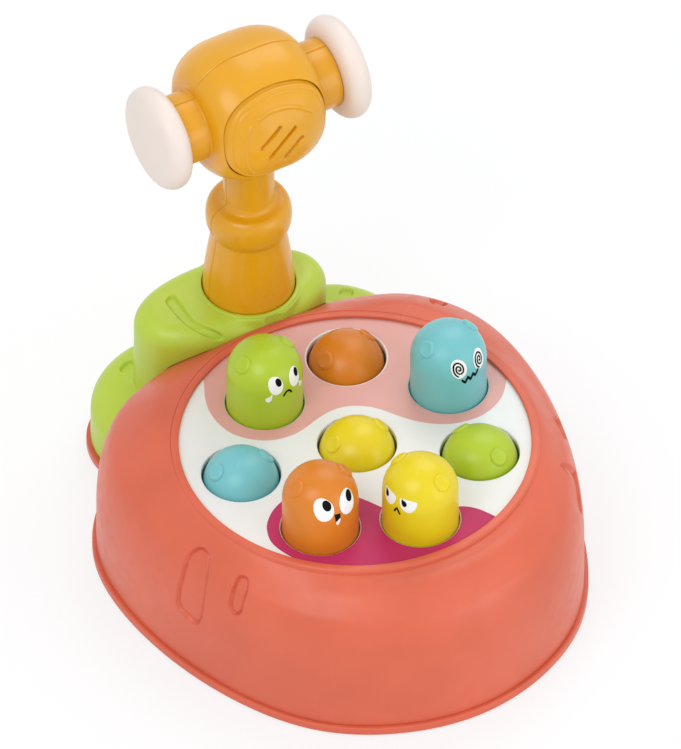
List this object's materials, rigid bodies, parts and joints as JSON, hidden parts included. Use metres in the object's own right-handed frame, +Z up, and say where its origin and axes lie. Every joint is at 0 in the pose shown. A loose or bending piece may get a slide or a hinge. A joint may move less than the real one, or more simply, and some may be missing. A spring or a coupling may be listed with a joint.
{
  "type": "mole pounding game",
  "caption": "Pounding game: a rounded casing with domed moles in see-saw pairs, a three-lobed leaf casing behind it and an upright two-faced hammer standing in the leaf's socket.",
  "frame": {"origin": "on the table, under the middle of the whole game's length and width", "axes": "+Z up, +Y from the casing's tip, where the player is, towards the leaf, +X to the player's right"},
  "size_m": [0.2278, 0.2708, 0.243],
  "materials": {
    "coral_plastic": "satin gloss moulded, coral",
    "leaf_plastic": "satin gloss moulded, leaf green",
    "deck_plastic": "smooth white with plain printed colour fields",
    "inner_plastic": "plain natural white",
    "mole_green_plastic": "gloss moulded, lime green",
    "mole_blue_plastic": "gloss moulded, turquoise",
    "mole_orange_plastic": "gloss moulded, orange",
    "mole_yellow_plastic": "gloss moulded, yellow",
    "hammer_plastic": "satin gloss moulded, orange yellow",
    "striker_plastic": "soft satin, warm white",
    "steel": "plain zinc plated",
    "rubber": "matt dark grey"
  },
  "bodies": {
    "casing": {"base_tray": "coral_plastic", "body_shell": "coral_plastic", "leaf_shell": "leaf_plastic", "deck_panel": "deck_plastic", "guide_frame": "inner_plastic", "rocker_pin_green": "steel", "rocker_pin_blue": "steel", "rocker_pin_orange": "steel", "rocker_pin_yellow": "steel", "base_screw_1": "steel", "base_screw_2": "steel", "base_screw_3": "steel", "base_screw_4": "steel", "base_screw_5": "steel", "base_screw_6": "steel", "leaf_screw_1": "steel", "leaf_screw_2": "steel", "frame_screw_1": "steel", "frame_screw_2": "steel", "frame_screw_3": "steel", "frame_screw_4": "steel", "rubber_foot_1": "rubber", "rubber_foot_2": "rubber", "rubber_foot_3": "rubber", "rubber_foot_4": "rubber", "rubber_foot_5": "rubber"},
    "green_raised_mole": {"mole_green_raised": "mole_green_plastic"},
    "green_lowered_mole": {"mole_green_lowered": "mole_green_plastic"},
    "blue_raised_mole": {"mole_blue_raised": "mole_blue_plastic"},
    "blue_lowered_mole": {"mole_blue_lowered": "mole_blue_plastic"},
    "orange_raised_mole": {"mole_orange_raised": "mole_orange_plastic"},
    "orange_lowered_mole": {"mole_orange_lowered": "mole_orange_plastic"},
    "yellow_raised_mole": {"mole_yellow_raised": "mole_yellow_plastic"},
    "yellow_lowered_mole": {"mole_yellow_lowered": "mole_yellow_plastic"},
    "green_rocker": {"rocker_green": "inner_plastic"},
    "blue_rocker": {"rocker_blue": "inner_plastic"},
    "orange_rocker": {"rocker_orange": "inner_plastic"},
    "yellow_rocker": {"rocker_yellow": "inner_plastic"},
    "hammer": {"handle_front": "hammer_plastic", "handle_back": "hammer_plastic", "head_front": "hammer_plastic", "head_back": "hammer_plastic", "head_badge_front": "hammer_plastic", "head_badge_back": "hammer_plastic", "striker_left": "striker_plastic", "striker_right": "striker_plastic", "hammer_screw_1": "steel", "hammer_screw_2": "steel", "hammer_screw_3": "steel", "hammer_screw_4": "steel"}
  },
  "joints": [
    {"name": "green_raised_slide", "type": "slide", "parent": "casing", "child": "green_raised_mole", "axis": [0, 0, 1], "range_m": [-0.026, 0]},
    {"name": "green_lowered_slide", "type": "slide", "parent": "casing", "child": "green_lowered_mole", "axis": [0, 0, 1], "range_m": [0, 0.026]},
    {"name": "green_rocker_hinge", "type": "hinge", "parent": "casing", "child": "green_rocker", "pos_m": [0.0126, -0.00976, 0.041], "axis": [-0.7434, -0.6688, 0], "range_deg": [0, 27.9]},
    {"name": "blue_raised_slide", "type": "slide", "parent": "casing", "child": "blue_raised_mole", "axis": [0, 0, 1], "range_m": [-0.026, 0]},
    {"name": "blue_lowered_slide", "type": "slide", "parent": "casing", "child": "blue_lowered_mole", "axis": [0, 0, 1], "range_m": [0, 0.026]},
    {"name": "blue_rocker_hinge", "type": "hinge", "parent": "casing", "child": "blue_rocker", "pos_m": [0.00038, -0.00489, 0.0308], "axis": [-0.0277, 0.9996, 0], "range_deg": [0, 26.1]},
    {"name": "orange_raised_slide", "type": "slide", "parent": "casing", "child": "orange_raised_mole", "axis": [0, 0, 1], "range_m": [-0.026, 0]},
    {"name": "orange_lowered_slide", "type": "slide", "parent": "casing", "child": "orange_lowered_mole", "axis": [0, 0, 1], "range_m": [0, 0.026]},
    {"name": "orange_rocker_hinge", "type": "hinge", "parent": "casing", "child": "orange_rocker", "pos_m": [-0.00857, -0.00963, 0.0206], "axis": [0.8125, -0.583, 0], "range_deg": [0, 26.1]},
    {"name": "yellow_raised_slide", "type": "slide", "parent": "casing", "child": "yellow_raised_mole", "axis": [0, 0, 1], "range_m": [-0.026, 0]},
    {"name": "yellow_lowered_slide", "type": "slide", "parent": "casing", "child": "yellow_lowered_mole", "axis": [0, 0, 1], "range_m": [0, 0.026]},
    {"name": "yellow_rocker_hinge", "type": "hinge", "parent": "casing", "child": "yellow_rocker", "pos_m": [0.00139, -0.04559, 0.041], "axis": [0.9997, 0.0243, 0], "range_deg": [0, 52.6]},
    {"name": "hammer_lift", "type": "slide", "parent": "casing", "child": "hammer", "axis": [0, 0, 1], "range_m": [0, 0.06]}
  ],
  "couplings": [
    {"joint": "green_lowered_slide", "follows": "green_raised_slide", "ratio": -1},
    {"joint": "green_rocker_hinge", "follows": "green_raised_slide", "rad_per_m": -18.7},
    {"joint": "blue_lowered_slide", "follows": "blue_raised_slide", "ratio": -1},
    {"joint": "blue_rocker_hinge", "follows": "blue_raised_slide", "rad_per_m": -17.511},
    {"joint": "orange_lowered_slide", "follows": "orange_raised_slide", "ratio": -1},
    {"joint": "orange_rocker_hinge", "follows": "orange_raised_slide", "rad_per_m": -17.501},
    {"joint": "yellow_lowered_slide", "follows": "yellow_raised_slide", "ratio": -1},
    {"joint": "yellow_rocker_hinge", "follows": "yellow_raised_slide", "rad_per_m": -35.276}
  ]
}
